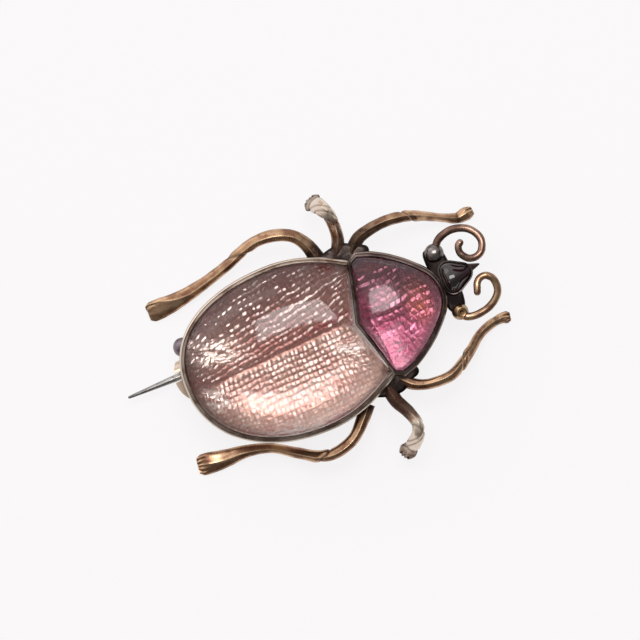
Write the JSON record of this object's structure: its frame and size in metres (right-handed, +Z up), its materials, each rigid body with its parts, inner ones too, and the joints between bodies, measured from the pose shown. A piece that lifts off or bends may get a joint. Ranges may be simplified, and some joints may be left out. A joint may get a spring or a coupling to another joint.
{
  "type": "insect brooch",
  "caption": "Beetle brooch with foiled cabochon body and thorax, dark stone head, bowed legs, curled feelers and a hinged pin with an open catch.",
  "frame": {"origin": "centre of the underside of the whole part's box, where the four standing feet touch the ground", "axes": "+X to the beetle's head, +Y to the beetle's left, +Z up, away from the clothes"},
  "size_m": [0.043, 0.031, 0.009],
  "materials": {
    "setting": "aged, dark in the hollows",
    "pale_stone": "polished",
    "pink_stone": "polished",
    "dark_stone": "polished",
    "pale_foil": "embossed foil",
    "pink_foil": "embossed foil",
    "pin_steel": "dulled"
  },
  "bodies": {
    "brooch": {"setting": "setting", "abdomen_stone": "pale_stone", "thorax_stone": "pink_stone", "head_stone": "dark_stone", "abdomen_foil": "pale_foil", "thorax_foil": "pink_foil", "hinge_rivet": "pin_steel"},
    "pin": {"pin_stem": "pin_steel"}
  },
  "joints": [
    {"name": "pin_hinge", "type": "hinge", "parent": "brooch", "child": "pin", "pos_m": [0.01063, 0.00265, 0.00171], "axis": [0, -0.866, 0.5], "range_deg": [0, 60]}
  ]
}
